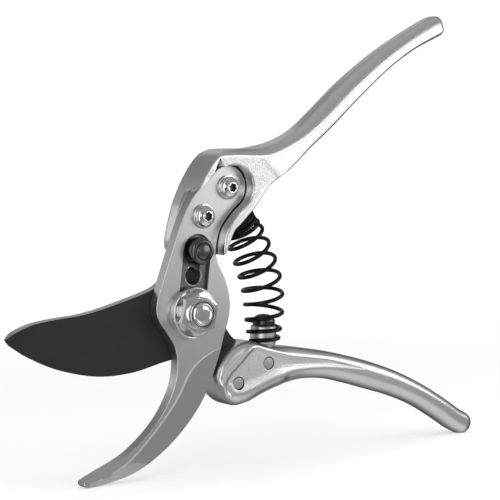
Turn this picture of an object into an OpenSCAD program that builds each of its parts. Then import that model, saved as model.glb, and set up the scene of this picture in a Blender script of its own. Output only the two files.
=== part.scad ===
// Bypass pruning shears: a hooked counter-blade on the upper handle and a curved cutting
// blade on the lower handle, turning on one bolt, with a return spring and a thumb catch.
//
// The row stands with the handles' plane along X and Z. The pivot runs along Y through the
// origin, which is the centre of the bolt head's outer face. The nut is towards -Y.
// Outlines are drawn in the handles' plane as [x, z]. Heights through the stack are y values.

/* [Blades] */
// Thickness of the hooked counter-blade
hook_t = 4.2; // [3.4:0.1:5.2]
// Thickness of the cutting blade
blade_t = 3.2; // [2.6:0.1:4]
// Gap between the two blades where they slide past each other
slide_gap = 0.05; // [0.02:0.01:0.1]
// How far the handles close
closing_angle = 48; // [40:1:48]

/* [Handles] */
// Length of each grip past the head of its handle, as a share of the usual length
grip_stretch = 1; // [0.8:0.05:1.25]
// Fullness of the grips, as a share of the usual thickness
grip_girth = 1; // [0.8:0.05:1.25]
// How far the upper handle's rim stands in front of the counter-blade
rim_h = 4.2; // [2.5:0.1:6]
// How far the upper handle's head reaches behind the counter-blade
head_back = 6.4; // [5.4:0.1:8]
// Thickness of the lower handle's front cheek
front_cheek_t = 5.7; // [4.5:0.1:7]
// Thickness of the lower handle's rear cheek
rear_cheek_t = 4.4; // [3:0.1:6]
// Gap between the counter-blade's edge and the rim round it
rim_gap = 0.3; // [0.2:0.05:0.6]

/* [Pivot] */
// Diameter of the pivot bolt
bolt_d = 8; // [6:0.5:9.5]
// Height of the bolt's hexagon head
bolt_head_h = 4; // [3:0.1:5.5]
// Hexagon size of the bolt head and nut, across the flats
bolt_af = 13; // [12.5:0.1:15]
// Radial clearance of the cutting blade on the bolt
pivot_play = 0.05; // [0.02:0.01:0.09]
// Thickness of the washer under the bolt head
rear_washer_t = 1.2; // [0.8:0.1:2]
// Diameter of the dished washer under the nut
front_washer_d = 17; // [16.2:0.1:19]
// Thickness of the dished washer at its rim
front_washer_t = 2.2; // [1.8:0.1:3]
// Height of the nut's hexagon
nut_h = 4.1; // [3.2:0.1:6]
// Height of the nut's round collar, which holds the nylon ring
collar_h = 1.7; // [1.4:0.1:2.4]

/* [Fasteners] */
// Diameter of the two screws that hold the counter-blade
screw_d = 5; // [4:0.1:6]
// Diameter of their button heads
screw_head_d = 7.2; // [6.8:0.1:8]
// Height of their heads
screw_head_h = 2.3; // [1.8:0.1:3]
// Thickness of the washers under the screws
screw_washer_t = 0.7; // [0.5:0.1:1]
// Diameter of the rivets through the lower handle
rivet_d = 4.2; // [3.2:0.1:5.2]
// Clearance round each screw, rivet and pressed shank
seat_play = 0.02; // [0.01:0.01:0.05]

/* [Catch] */
// Diameter of the thumb button
button_d = 8.9; // [7.4:0.1:9.8]
// Height of the button over the channel's floor
button_h = 5; // [4:0.1:6.5]
// Travel of the catch from open to locked
catch_travel = 3.8; // [3:0.1:3.8]
// Diameter of the foot behind the counter-blade, which locks the cutting blade
foot_d = 5.8; // [4.8:0.1:6.6]
// Diameter of the catch's neck in its slot
neck_d = 4.4; // [3.4:0.1:4.6]
// Depth of the channel that the button slides in
channel_depth = 1.1; // [0.8:0.1:1.6]

/* [Spring] */
// Diameter of the spring wire
wire_d = 1.4; // [1.1:0.1:1.7]
// Diameter of the pegs that hold the spring's ends
peg_d = 8.8; // [7.2:0.1:9.8]
// Length of the upper peg
upper_peg_h = 5.8; // [4.6:0.1:5.8]
// Length of the lower peg
lower_peg_h = 6.4; // [5.2:0.1:6.4]
// Height of the rubber bumper on the lower peg
bumper_h = 3.8; // [3:0.1:3.8]

/* [Hidden] */
$fn = 64;

// Places through the stack, from the bolt head's outer face towards the nut
washer_y = -bolt_head_h;
blade_back = washer_y - rear_washer_t - slide_gap;
blade_front = blade_back - blade_t;
hook_back = blade_front - slide_gap;
hook_front = hook_back - hook_t;
rim_front = hook_front - rim_h;
dish_depth = 1;
nut_y = hook_front - front_washer_t + dish_depth;
nut_front = nut_y - nut_h - collar_h;
bolt_tip = nut_front - 0.3;
mid_y = hook_back + 1;

// Places in the handles' plane
screw_places = [[14.6, 40.6], [4.8, 31.4]];
rivet_places = [[18.5, -25], [31, -19.3]];
head_arc_r = 7.2;
catch_angle = 83;
catch_dir = [cos(catch_angle), sin(catch_angle)];
catch_r = 20.3;
keyhole_r = 12;
keyhole_d = foot_d + 0.3;
upper_seat = [21.4, 30.6];
upper_seat_dir = [0.55, -0.835];
lower_seat = [32.8, -13.4];
lower_seat_dir = [0.06, 0.998];
seat_r = peg_d / 2 + wire_d + 0.6;

// Fits
slot_play = 0.1;
foot_play = 0.3;
foot_gap = 0.1;
foot_h = blade_t - 0.4;
spring_washer_t = 0.28;
channel_floor = hook_front + channel_depth;
button_base = channel_floor - spring_washer_t - 0.04;
screw_reach = 9;
peg_shank_d = 5;
peg_shank_h = 4;
bumper_r = peg_d / 2 - 0.6;
bumper_wall = 1.5;
collar_r = bolt_d / 2 + 1.2;
insert_r = collar_r - 0.45;
insert_sink = 0.25;
nut_turn = 18;
seating = 0.01;

// ---- curves ----

// Point at share t between p1 and p2 of a smooth curve through four points
function bend(p0, p1, p2, p3, t) =
    0.5 * (2 * p1 + (p2 - p0) * t + (2 * p0 - 5 * p1 + 4 * p2 - p3) * t * t
           + (3 * p1 - p0 - 3 * p2 + p3) * t * t * t);

// A smooth open curve through points p, with n steps between each two
function curve(p, n = 4) = let (last = len(p) - 1) concat(
    [for (i = [0:last - 1], k = [0:n - 1])
        bend(p[max(i - 1, 0)], p[i], p[i + 1], p[min(i + 2, last)], k / n)],
    [p[last]]);

// A smooth closed curve through points p
function ring(p, n = 4) = let (c = len(p))
    [for (i = [0:c - 1], k = [0:n - 1])
        bend(p[(i + c - 1) % c], p[i], p[(i + 1) % c], p[(i + 2) % c], k / n)];

// Points of an arc about c
function arc(c, r, from, to, steps = 12) =
    [for (i = [0:steps]) let (a = from + (to - from) * i / steps) c + r * [cos(a), sin(a)]];

// Point at distance r from the pivot along the catch's line
function on_catch(r) = r * catch_dir;

function turned(p, angle) =
    [p[0] * cos(angle) - p[1] * sin(angle), p[0] * sin(angle) + p[1] * cos(angle)];

function signed_pow(v, e) = sign(v) * pow(abs(v), e);

// ---- outlines in the handles' plane ----

hook_outer = [[-41.2, -52.6], [-38.6, -53.6], [-31, -52.9], [-20.7, -50.4], [-9, -43.8],
              [0.6, -35.2], [7, -26.2], [10.6, -17], [13, -9], [15.3, -1.5], [15.3, 4.5],
              [13.4, 10.8], [10.7, 16], [10, 21], [11.6, 27], [15.7, 32.1], [18.6, 34.6]];
hook_inner = [[6, 42.2], [1.4, 38.6], [-3.3, 30.6], [-7.8, 19.4], [-11.4, 9.6],
              [-13.5, 3], [-12.7, -1.8], [-9.6, -6.2], [-6.3, -11.5], [-5.5, -17.5],
              [-7.3, -25.5], [-13.7, -35.3], [-24.4, -44.1], [-36.7, -49.4], [-41.2, -51.4]];
hook_line = concat(curve(hook_outer), arc(screw_places[0], head_arc_r, -42, 128),
                   curve(hook_inner));

heel_r = 16.2;
blade_spine = [[-66.6, -4.4], [-63.1, -2.5], [-57, -0.4], [-50, 0.6], [-37.5, 1.7],
               [-24.7, 4.5], [-11.5, 8.4], [-6.5, 12.4], [-1.5, 15.6]];
tang = [[14.6, 4], [14.2, -1.5], [16.4, -6.2], [20.2, -10.7], [25, -13.4], [31, -14],
        [36, -15.8], [38, -19], [36.2, -22.2], [30, -25.4], [24, -28.4], [18, -29.8],
        [13, -28], [10.5, -24.5], [6.5, -20], [1, -16.8], [-4.5, -15.6]];
blade_edge = [[-9.4, -16.5], [-20.5, -18.7], [-33.4, -18.8], [-47.3, -15.6],
              [-58.4, -10.7], [-65.4, -6.2]];
blade_line = concat(curve(blade_spine), arc([0, 0], heel_r, 90, 28, 8), curve(tang),
                    curve(blade_edge));

// Body of the upper handle's head, behind the counter-blade
head_end_r = 21.8;
upper_head = concat(
    arc([0, 0], head_end_r, 57, 102, 8),
    curve([[-4.8, 22.6], [-3.7, 29], [-1.4, 36.2], [1.7, 42.6], [5.4, 48.1], [9, 51.4],
           [13.5, 53.1], [21.5, 53.2], [29, 53.4]]),
    curve([[34.5, 44.2], [29.5, 41.2], [26.5, 38], [24.4, 35.2], [20.8, 31.6],
           [17.1, 28.3], [13.9, 25.2], [12.7, 22], [12.2, 19.2]]));

// The rim left of the counter-blade is cut away, down to a land that narrows to nothing
land_cut = [[12.5, 47.9], [10.2, 49.2], [8, 47.6], [5.5, 45], [2.7, 42], [-1.1, 38.7],
            [-5, 34], [-9, 20], [0, 20], [6, 40]];

// The lower handle's head: both cheeks have this outline
lower_head = ring([[9.9, -22.7], [10.6, -19.8], [12.8, -16.6], [15.8, -13.6],
                   [19.6, -11.8], [23.6, -11.3], [29, -12.7], [36, -14.2], [44, -15.4],
                   [48, -21.2], [44, -26.6], [36, -28.2], [29.8, -30], [24, -32.2],
                   [18.6, -33], [13.9, -31.2], [10.9, -27.4]]);

// Stations along each grip: [x, z, half height, half depth]
upper_grip = [[23.5, 43.4, 9.2, 7], [29.5, 47.2, 7.1, 6.4], [37.8, 51.2, 4.9, 5.5],
              [46.2, 56.2, 4, 5], [55.2, 62.9, 4.1, 5], [67.2, 72.7, 4, 5],
              [80.8, 82.4, 3.6, 4.7], [93, 89.6, 3.2, 4.4], [103, 94.4, 3.2, 4.2],
              [107.6, 96.4, 2.7, 3.4], [109.6, 97.2, 1.3, 1.7]];
lower_grip = [[33, -21.4, 7.6, 6.2], [39.5, -21, 6.6, 6], [48.7, -21.3, 5.3, 5.5],
              [58.9, -22.8, 4.8, 5.1], [69.1, -25.4, 4.8, 5], [79.6, -28.6, 4.8, 4.9],
              [90.3, -32.3, 4.5, 4.7], [101.3, -37.2, 4.2, 4.4], [111.5, -43, 4.2, 4.2],
              [118.6, -47.5, 4.2, 4], [123.4, -49.9, 3.7, 3.4], [126.4, -51.1, 2.4, 2.2],
              [127.4, -51.5, 1.1, 1.1]];
free_station = 3;
grip_y = rim_front + 7.2;

// Grip stations, stretched from the last one that the head covers
function stretched(g) = let (a = g[free_station])
    [for (i = [0:len(g) - 1]) let (s = g[i], free = i > free_station)
        [free ? a[0] + (s[0] - a[0]) * grip_stretch : s[0],
         free ? a[1] + (s[1] - a[1]) * grip_stretch : s[1],
         i >= free_station ? s[2] * grip_girth : s[2],
         i >= free_station ? s[3] * grip_girth : s[3]]];

// ---- solids ----

// Extrudes an [x, z] outline from y0 up to y1
module slab(y0, y1) {
    translate([0, y1, 0]) rotate([90, 0, 0]) linear_extrude(y1 - y0) children();
}

// A round bar along Y at place p
module bar(p, y0, y1, d) {
    translate([p[0], y1, p[1]]) rotate([90, 0, 0]) cylinder(h = y1 - y0, d = d);
}

// A turned piece on the pivot line of place p: its profile is [radius, y]
module lathe(p, profile) {
    translate([p[0], 0, p[1]]) rotate([90, 0, 0]) rotate_extrude()
        polygon([for (q = profile) [q[0], -q[1]]]);
}

// A turned piece on an axis in the handles' plane, from place p along direction dir
module aimed(p, dir, y) {
    translate([p[0], y, p[1]]) rotate([0, atan2(dir[0], dir[1]), 0]) children();
}

// A round-ended slot along the catch's line
module catch_slot(r0, r1, width) {
    polygon(concat(arc(on_catch(r1), width / 2, catch_angle - 90, catch_angle + 90, 16),
                   arc(on_catch(r0), width / 2, catch_angle + 90, catch_angle + 270, 16)));
}

// Skin of a rounded bar through stations [x, z, half height, half depth] about depth y
module loft(stations, y, sides = 20, squareness = 2.6) {
    s = curve(stations, 3);
    last = len(s) - 1;
    points = [for (i = [0:last])
        let (ahead = s[min(i + 1, last)], behind = s[max(i - 1, 0)],
             d = [ahead[0] - behind[0], ahead[1] - behind[1]], n = [-d[1], d[0]] / norm(d))
        for (k = [0:sides - 1])
            let (a = 360 * k / sides, e = 2 / squareness,
                 u = s[i][2] * signed_pow(cos(a), e), v = s[i][3] * signed_pow(sin(a), e))
            [s[i][0] + n[0] * u, y + v, s[i][1] + n[1] * u]];
    walls = [for (i = [0:last - 1], k = [0:sides - 1])
        let (a = i * sides + k, b = i * sides + (k + 1) % sides)
        each [[a, b, b + sides], [a, b + sides, a + sides]]];
    near = [for (k = [0:sides - 1]) sides - 1 - k];
    far = [for (k = [0:sides - 1]) last * sides + k];
    polyhedron(points = points, faces = concat(walls, [near, far]), convexity = 6);
}

module screw_holes(y0, y1, d) {
    for (p = screw_places) bar(p, y0, y1, d);
}

module peg_socket(seat, dir) {
    aimed(seat, dir, mid_y) {
        cylinder(h = 14, r = seat_r + 0.3);
        translate([0, 0, -peg_shank_h]) cylinder(h = 5, d = peg_shank_d + 2 * seat_play);
    }
}

module upper_handle() color([0.80, 0.81, 0.83]) difference() {
    union() {
        loft(stretched(upper_grip), grip_y);
        slab(rim_front, hook_back + head_back) polygon(upper_head);
        aimed(upper_seat, upper_seat_dir, mid_y) translate([0, 0, -7])
            cylinder(h = 7, r = seat_r);
    }
    slab(rim_front - 5, hook_back) {
        offset(r = rim_gap) polygon(hook_line);
        polygon(land_cut);
    }
    screw_holes(hook_back - 1, hook_back + head_back + 1, screw_d + 2 * seat_play);
    slab(hook_back - 1, hook_back + foot_gap + foot_h + foot_play)
        catch_slot(catch_r - catch_travel - 2, catch_r, foot_d + 2 * foot_play);
    bar([0, 0], hook_back - 20, hook_back + 20, 2 * (heel_r + 1));
    peg_socket(upper_seat, upper_seat_dir);
}

module anvil_hook() color([0.74, 0.75, 0.77]) difference() {
    slab(hook_front, hook_back) polygon(hook_line);
    bar([0, 0], hook_front - 1, hook_back + 1, bolt_d + 2 * seat_play);
    screw_holes(hook_front - 1, hook_back + 1, screw_d + 2 * seat_play);
    slab(hook_front - 1, channel_floor)
        catch_slot(0, catch_r + 0.1, button_d + 1.7);
    slab(hook_front - 1, hook_back + 1) {
        translate(on_catch(keyhole_r)) circle(d = keyhole_d);
        catch_slot(keyhole_r, catch_r, neck_d + 2 * slot_play);
    }
}

// Button head with a socket, over a plain shank
module button_screw(p, y_seat) {
    r = screw_head_d / 2;
    difference() {
        lathe(p, [[0, y_seat + screw_reach], [screw_d / 2, y_seat + screw_reach],
                  [screw_d / 2, y_seat], [r, y_seat], [r, y_seat - 0.25 * screw_head_h],
                  [0.86 * r, y_seat - 0.75 * screw_head_h],
                  [0.62 * r, y_seat - screw_head_h], [0, y_seat - screw_head_h]]);
        translate([p[0], y_seat - screw_head_h + 1.4, p[1]]) rotate([90, 0, 0])
            cylinder(h = 3, d = 0.42 * screw_head_d, $fn = 6);
    }
}

module anvil_screws() color([0.86, 0.86, 0.87])
    for (p = screw_places) button_screw(p, hook_front - screw_washer_t);

module anvil_washers() color([0.86, 0.86, 0.87]) for (p = screw_places) difference() {
    bar(p, hook_front - screw_washer_t, hook_front, screw_head_d + 0.9);
    bar(p, hook_front - 2, hook_front + 1, screw_d + 2 * seat_play);
}

module pivot_bolt() color([0.84, 0.85, 0.86]) difference() {
    union() {
        intersection() {
            rotate([90, 0, 0]) cylinder(h = bolt_head_h, r = bolt_af / 2 / cos(30), $fn = 6);
            lathe([0, 0], [[0, 0], [bolt_af / 2 - 0.2, 0],
                           [bolt_af / 2 / cos(30), -0.8],
                           [bolt_af / 2 / cos(30), washer_y], [0, washer_y]]);
        }
        lathe([0, 0], [[0, washer_y + 1], [bolt_d / 2, washer_y + 1],
                       [bolt_d / 2, bolt_tip + 0.7], [bolt_d / 2 - 0.7, bolt_tip],
                       [0, bolt_tip]]);
    }
    lathe([0, 0], [[0, bolt_tip - 1], [bolt_d / 2 - 1.1, bolt_tip - 1],
                   [bolt_d / 2 - 1.1, bolt_tip], [bolt_d / 2 - 1.6, bolt_tip + 0.8],
                   [0, bolt_tip + 0.8]]);
}

module pivot_nut() color([0.84, 0.85, 0.86]) rotate([0, -nut_turn, 0]) difference() {
    corner = bolt_af / 2 / cos(30);
    hex_front = nut_y - nut_h;
    union() {
        intersection() {
            translate([0, nut_y, 0]) rotate([90, 0, 0])
                cylinder(h = nut_h, r = corner, $fn = 6);
            lathe([0, 0], [[0, nut_y], [bolt_af / 2 - 0.1, nut_y], [corner, nut_y - 0.6],
                           [corner, hex_front + 0.9], [bolt_af / 2 - 0.3, hex_front],
                           [0, hex_front]]);
        }
        lathe([0, 0], [[0, hex_front + 0.5], [collar_r, hex_front + 0.5],
                       [collar_r, nut_front + 0.5], [collar_r - 0.4, nut_front],
                       [0, nut_front]]);
    }
    bar([0, 0], nut_front - 1, nut_y + 1, bolt_d + 2 * seat_play);
    bar([0, 0], nut_front - 1, hex_front, 2 * insert_r + 2 * seat_play);
}

module nut_insert() color([0.75, 0.77, 0.78]) difference() {
    bar([0, 0], nut_front + insert_sink, nut_y - nut_h - seating, 2 * insert_r);
    bar([0, 0], nut_front - 1, nut_y + 1, bolt_d + 2 * seat_play);
}

module pivot_washer() color([0.87, 0.87, 0.88]) {
    r = front_washer_d / 2;
    front = hook_front - front_washer_t;
    lathe([0, 0], [[bolt_d / 2 + 2 * seat_play, hook_front], [r - 0.3, hook_front],
                   [r, hook_front - 0.4], [r, front + 0.3], [r - 0.3, front],
                   [r - 0.7, front], [bolt_af / 2 + 1.1, nut_y],
                   [bolt_d / 2 + 2 * seat_play, nut_y]]);
}

module rear_washer() color([0.82, 0.82, 0.83]) difference() {
    bar([0, 0], washer_y - rear_washer_t, washer_y, bolt_af + 3);
    bar([0, 0], washer_y - rear_washer_t - 1, washer_y + 1, bolt_d + 2 * seat_play);
}

// Spring peg with a pressed shank, standing on its seat
module spring_peg(seat, dir, height, hollow) {
    aimed(seat, dir, mid_y) rotate_extrude() polygon([
        [0, -peg_shank_h + 0.2], [peg_shank_d / 2, -peg_shank_h + 0.2],
        [peg_shank_d / 2, 0.02], [peg_d / 2, 0.02], [peg_d / 2, height - 0.6],
        [peg_d / 2 - 0.6, height], [hollow, height], [hollow, height - 2],
        [0, height - 2]]);
}

module upper_spring_peg() color([0.78, 0.78, 0.79])
    spring_peg(upper_seat, upper_seat_dir, upper_peg_h, 1.5);

module lower_spring_peg() color([0.78, 0.78, 0.79])
    spring_peg(lower_seat, lower_seat_dir, lower_peg_h, 2);

module stop_bumper() color([0.09, 0.09, 0.09])
    aimed(lower_seat, lower_seat_dir, mid_y) rotate_extrude() polygon(concat(
        [[0, lower_peg_h - 1.9], [1.95, lower_peg_h - 1.9], [1.95, lower_peg_h + 0.02],
         [bumper_r - 0.2, lower_peg_h + 0.02]],
        [for (a = [0:15:90]) [bumper_r * signed_pow(cos(a), 0.7),
                              lower_peg_h + bumper_wall
                              + (bumper_h - bumper_wall) * sin(a)]]));

// ---- return spring ----

spring_line = curve([upper_seat + 0.4 * upper_seat_dir, [24.1, 26.4], [26.1, 22.2],
                     [28.5, 17.3], [30.6, 12.4], [32.2, 7.2], [33.1, 2], [33.3, -3.3],
                     [33.1, -8.4], lower_seat + 0.4 * lower_seat_dir], 6);
turns_top = 3.4;
turns_mid = 6.1;
turns_low = 1.5;
spring_turns = turns_top + turns_mid + turns_low;
facets_per_turn = 16;
wire_sides = 6;
end_r = peg_d / 2 + wire_d / 2 + 0.2;
belly_r = end_r + 1.5;

line_steps = [for (i = [0:len(spring_line) - 2]) norm(spring_line[i + 1] - spring_line[i])];
function sum_to(v, n, i = 0) = i >= n ? 0 : v[i] + sum_to(v, n, i + 1);
line_marks = [for (i = [0:len(spring_line) - 1]) sum_to(line_steps, i)];
line_length = line_marks[len(line_marks) - 1];
close_pitch = wire_d * 1.08;
low_pitch = wire_d * 2.2;

// Distance along the spring's axis after t turns, starting and ending half a wire in
top_run = turns_top * close_pitch;
low_run = turns_low * low_pitch;
mid_run = line_length - top_run - low_run - wire_d;
function axial(t) = wire_d / 2 + (
    t < turns_top ? t * close_pitch
    : t > spring_turns - turns_low
        ? top_run + mid_run + (t - turns_top - turns_mid) * low_pitch
        : top_run + mid_run * (t - turns_top) / turns_mid);

// Place on the axis at distance s, with its direction
function axis_at(s) = let (
    i = max([for (k = [0:len(line_marks) - 2]) line_marks[k] <= s ? k : 0]),
    f = (s - line_marks[i]) / line_steps[i])
    [spring_line[i] * (1 - f) + spring_line[i + 1] * f,
     (spring_line[i + 1] - spring_line[i]) / line_steps[i]];

function coil_r(t) = end_r + (belly_r - end_r)
    * pow(sin(180 * min(max((t - 2) / (spring_turns - 3), 0), 1)), 0.7);

function coil_point(t) = let (a = axis_at(axial(t)), n = [a[1][1], -a[1][0]], r = coil_r(t))
    [a[0][0] + n[0] * r * cos(360 * t), mid_y + r * sin(360 * t),
     a[0][1] + n[1] * r * cos(360 * t)];

module return_spring() color([0.07, 0.07, 0.08]) {
    count = ceil(spring_turns * facets_per_turn);
    step = spring_turns / count;
    points = [for (i = [0:count])
        let (t = min(max(i * step, 0.001), spring_turns - 0.001), p = coil_point(t),
             d = coil_point(t + 0.001) - coil_point(t - 0.001), f = d / norm(d),
             a = axis_at(axial(t)), out3 = p - [a[0][0], mid_y, a[0][1]],
             out = out3 / norm(out3), side = cross(f, out) / norm(cross(f, out)))
        for (k = [0:wire_sides - 1])
            p + wire_d / 2 * (out * cos(360 * k / wire_sides)
                              + side * sin(360 * k / wire_sides))];
    walls = [for (i = [0:count - 1], k = [0:wire_sides - 1])
        let (a = i * wire_sides + k, b = i * wire_sides + (k + 1) % wire_sides)
        each [[a, b + wire_sides, b], [a, a + wire_sides, b + wire_sides]]];
    near = [for (k = [0:wire_sides - 1]) k];
    far = [for (k = [0:wire_sides - 1]) count * wire_sides + wire_sides - 1 - k];
    polyhedron(points = points, faces = concat(walls, [near, far]), convexity = 20);
}

// ---- thumb catch ----

module catch_button() color([0.12, 0.12, 0.13]) {
    r = button_d / 2;
    front = button_base - button_h;
    bore = neck_d / 2 + seat_play;
    lathe(on_catch(catch_r), [
        [bore, button_base], [r, button_base], [r, front + 1], [r - 0.7, front + 0.45],
        [r - 1.3, front + 0.7], [r - 1.5, front + 0.5], [0.6 * r - 0.6, front + 0.1],
        [0, front], [0, button_base - 2.4], [bore, button_base - 2.4]]);
}

module catch_slider() color([0.35, 0.35, 0.37]) difference() {
    union() {
        bar(on_catch(catch_r), hook_back + foot_gap, hook_back + foot_gap + foot_h, foot_d);
        bar(on_catch(catch_r), button_base - 2.3, hook_back + foot_gap + 0.5, neck_d);
    }
    bar(on_catch(catch_r), button_base - 5, hook_back + 8, 2 + 2 * seat_play);
}

module catch_screw() color([0.5, 0.5, 0.52]) {
    head = hook_back + foot_gap + foot_h;
    bar(on_catch(catch_r), button_base - 2.3, head + seating, 2);
}

module catch_spring_washer() color([0.6, 0.6, 0.62]) lathe(on_catch(catch_r), [
    [neck_d / 2 + 0.1, channel_floor - 0.02], [button_d / 2 - 0.3, channel_floor - 0.02],
    [button_d / 2 - 0.3, channel_floor - 0.02 - spring_washer_t],
    [neck_d / 2 + 0.1, channel_floor - 0.02 - spring_washer_t]]);

// ---- lower handle ----

module cutting_blade() color([0.10, 0.10, 0.11]) difference() {
    slab(blade_front, blade_back) polygon(blade_line);
    bar([0, 0], blade_front - 1, blade_back + 1, bolt_d + 2 * pivot_play);
    // The catch's foot enters one hollow when the handles are shut, the other when open
    for (angle = [0, -closing_angle])
        bar(turned(on_catch(catch_r - catch_travel), angle), blade_front - 1,
            blade_back + 1, foot_d + 2 * foot_play);
    for (p = rivet_places) bar(p, blade_front - 1, blade_back + 1, rivet_d + 2 * seat_play);
    peg_socket(lower_seat, lower_seat_dir);
}

module lower_handle() color([0.80, 0.81, 0.83]) difference() {
    union() {
        slab(hook_back - front_cheek_t, blade_back + rear_cheek_t) polygon(lower_head);
        loft(stretched(lower_grip), mid_y);
    }
    slab(blade_front - seat_play, blade_back + seat_play) {
        offset(r = 0.15) polygon(blade_line);
        translate([-10, -30]) square([30, 22]);
    }
    bar([0, 0], blade_front - 20, blade_back + 20, 30);
    for (p = rivet_places)
        bar(p, hook_back - front_cheek_t - 1, blade_back + rear_cheek_t + 1,
            rivet_d + 2 * seat_play);
    peg_socket(lower_seat, lower_seat_dir);
}

module blade_rivets() color([0.62, 0.62, 0.63]) for (p = rivet_places)
    bar(p, hook_back - front_cheek_t - 0.1, blade_back + rear_cheek_t + 0.1, rivet_d);

upper_handle();
anvil_hook();
anvil_screws();
anvil_washers();
pivot_bolt();
pivot_nut();
nut_insert();
pivot_washer();
rear_washer();
upper_spring_peg();
return_spring();
catch_button();
catch_slider();
catch_screw();
catch_spring_washer();
cutting_blade();
lower_handle();
blade_rivets();
lower_spring_peg();
stop_bumper();
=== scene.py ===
"""The looks of the bypass pruning shears: forged handles, ground counter-blade, coated
cutting blade, pivot hardware, thumb catch and return spring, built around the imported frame.

Outlines are in millimetres in the handles' plane, as (x, z). Depths are y, front is -y.
"""

import math

import bmesh
import bpy
import numpy as np
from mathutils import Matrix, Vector


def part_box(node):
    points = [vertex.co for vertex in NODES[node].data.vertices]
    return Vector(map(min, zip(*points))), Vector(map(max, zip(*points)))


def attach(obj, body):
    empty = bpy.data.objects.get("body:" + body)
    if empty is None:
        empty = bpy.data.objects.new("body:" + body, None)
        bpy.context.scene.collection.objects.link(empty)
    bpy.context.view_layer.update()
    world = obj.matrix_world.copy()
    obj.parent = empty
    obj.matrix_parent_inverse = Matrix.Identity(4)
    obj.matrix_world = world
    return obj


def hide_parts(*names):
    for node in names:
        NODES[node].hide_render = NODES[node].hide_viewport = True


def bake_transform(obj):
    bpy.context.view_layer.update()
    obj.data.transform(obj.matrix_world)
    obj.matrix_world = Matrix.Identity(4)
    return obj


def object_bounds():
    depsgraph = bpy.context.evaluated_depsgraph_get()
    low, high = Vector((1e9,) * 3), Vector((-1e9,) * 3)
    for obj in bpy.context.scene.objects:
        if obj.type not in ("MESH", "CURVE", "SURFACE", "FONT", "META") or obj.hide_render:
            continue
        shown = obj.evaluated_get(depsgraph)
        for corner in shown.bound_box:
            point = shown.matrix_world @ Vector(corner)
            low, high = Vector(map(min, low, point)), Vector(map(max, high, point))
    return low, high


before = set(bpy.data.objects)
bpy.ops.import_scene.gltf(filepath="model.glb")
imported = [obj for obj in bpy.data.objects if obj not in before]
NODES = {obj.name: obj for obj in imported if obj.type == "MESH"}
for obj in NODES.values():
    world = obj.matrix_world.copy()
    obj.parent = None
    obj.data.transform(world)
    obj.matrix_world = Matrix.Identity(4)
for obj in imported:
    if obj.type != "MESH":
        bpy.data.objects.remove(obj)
cad_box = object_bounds()

MM = 0.001


def span(node):
    """A CAD node's y range in millimetres: (front, back)."""
    low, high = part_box(node)
    return low.y / MM, high.y / MM


RIM_FRONT = span("upper_handle")[0]
HOOK_FRONT, HOOK_BACK = span("anvil_hook")
BLADE_FRONT, BLADE_BACK = span("cutting_blade")
CHEEK_FRONT, CHEEK_BACK = span("lower_handle")
NUT_FRONT, NUT_BACK = span("pivot_nut")
BOLT_TIP = span("pivot_bolt")[0]
REAR_WASHER_FRONT, REAR_WASHER_BACK = span("rear_washer")
WASHER_FRONT = span("anvil_washers")[0]
DISH_FRONT = span("pivot_washer")[0]
BUTTON_FRONT, BUTTON_BACK = span("catch_button")
RIVET_FRONT, RIVET_BACK = span("blade_rivets")
HEAD_WALL = 6.4
HEAD_BACK = HOOK_BACK + HEAD_WALL
MID_Y = HOOK_BACK + 1

# ---- places in the handles' plane ----

SCREW_PLACES = [(14.6, 40.6), (4.8, 31.4)]
RIVET_PLACES = [(18.5, -25), (31, -19.3)]
CATCH_ANGLE = math.radians(83)
CATCH_R = 20.3
CATCH_TRAVEL = 3.8
KEYHOLE_R = 12
KEYHOLE_D = 6.1
NECK_SLOT = 4.6
CHANNEL_WIDTH = 10.6
CHANNEL_DEPTH = 1.1
FOOT_HOLLOW_D = 6.4
CLOSING_ANGLE = math.radians(48)
HEEL_R = 16.2
HEAD_END_R = 20.2
PIVOT_ROOM_D = 30
PIVOT_BORE = 8.04
BLADE_BORE = 8.1
SCREW_BORE = 5.04
RIVET_BORE = 4.24
CHEEK_BORE = 4.5
BOLT_R = 4
BOLT_HEAD_H = 4
ACROSS_FLATS = 13
FOOT_ROOM = 3.2
CLEAR = 30
UPPER_SEAT = (21.4, 30.6)
UPPER_SEAT_DIR = (0.55, -0.835)
LOWER_SEAT = (32.8, -13.4)
LOWER_SEAT_DIR = (0.06, 0.998)
PEG_R = 4.4
SEAT_R = 6.4
WIRE_R = 0.7

HOOK_OUTER = [(-41.2, -52.6), (-38.6, -53.6), (-31, -52.9), (-20.7, -50.4), (-9, -43.8),
              (0.6, -35.2), (7, -26.2), (10.6, -17), (13, -9), (15.3, -1.5), (15.3, 4.5),
              (13.4, 10.8), (10.7, 16), (10, 21), (11.6, 27), (15.7, 32.1), (18.6, 34.6)]
HOOK_INNER = [(6, 42.2), (1.4, 38.6), (-3.3, 30.6), (-7.8, 19.4), (-11.4, 9.6), (-13.5, 3),
              (-12.7, -1.8), (-9.6, -6.2), (-6.3, -11.5), (-5.5, -17.5), (-7.3, -25.5),
              (-13.7, -35.3), (-24.4, -44.1), (-36.7, -49.4), (-41.2, -51.4)]
HOOK_HEAD_R = 7.2

BLADE_SPINE = [(-66.6, -4.4), (-63.1, -2.5), (-57, -0.4), (-50, 0.6), (-37.5, 1.7),
               (-24.7, 4.5), (-11.5, 8.4), (-6.5, 12.4), (-1.5, 15.6)]
TANG = [(14.6, 4), (14.2, -1.5), (16.4, -6.2), (20.2, -10.7), (25, -13.4), (31, -14),
        (36, -15.8), (38, -19), (36.2, -22.2), (30, -25.4), (24, -28.4), (18, -29.8),
        (13, -28), (10.5, -24.5), (6.5, -20), (1, -16.8), (-4.5, -15.6)]
BLADE_EDGE = [(-9.4, -16.5), (-20.5, -18.7), (-33.4, -18.8), (-47.3, -15.6),
              (-58.4, -10.7), (-65.4, -6.2)]

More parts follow.
